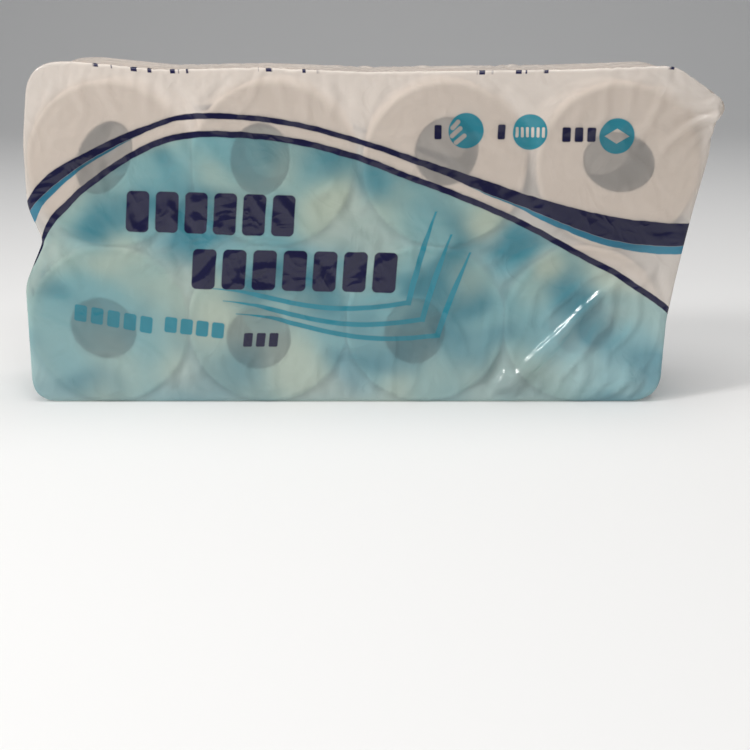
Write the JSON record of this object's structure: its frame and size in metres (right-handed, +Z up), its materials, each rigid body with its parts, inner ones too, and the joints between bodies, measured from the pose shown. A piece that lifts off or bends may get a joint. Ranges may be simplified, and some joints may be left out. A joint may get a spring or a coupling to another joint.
{
  "type": "toilet paper roll pack",
  "caption": "Sealed pack of soft paper rolls on cardboard cores, in a thin printed translucent film bag, standing on its long narrow side.",
  "frame": {"origin": "on the resting face, under the middle of the pack's box", "axes": "+X along the pack's width to the right as seen from its printed front, +Y along the roll axes towards the back, +Z up"},
  "size_m": [0.4892, 0.0978, 0.2414],
  "materials": {
    "film": "thin soft polythene film, milky and translucent, printed with plain colour bands",
    "tissue": "soft embossed tissue, matt",
    "core_board": "raw grey-brown board, matt"
  },
  "bodies": {
    "root": {"film_wrap": "film", "roll_bottom_1": "tissue", "roll_bottom_2": "tissue", "roll_bottom_3": "tissue", "roll_bottom_4": "tissue", "roll_top_1": "tissue", "roll_top_2": "tissue", "roll_top_3": "tissue", "roll_top_4": "tissue", "core_bottom_1": "core_board", "core_bottom_2": "core_board", "core_bottom_3": "core_board", "core_bottom_4": "core_board", "core_top_1": "core_board", "core_top_2": "core_board", "core_top_3": "core_board", "core_top_4": "core_board"}
  },
  "joints": []
}
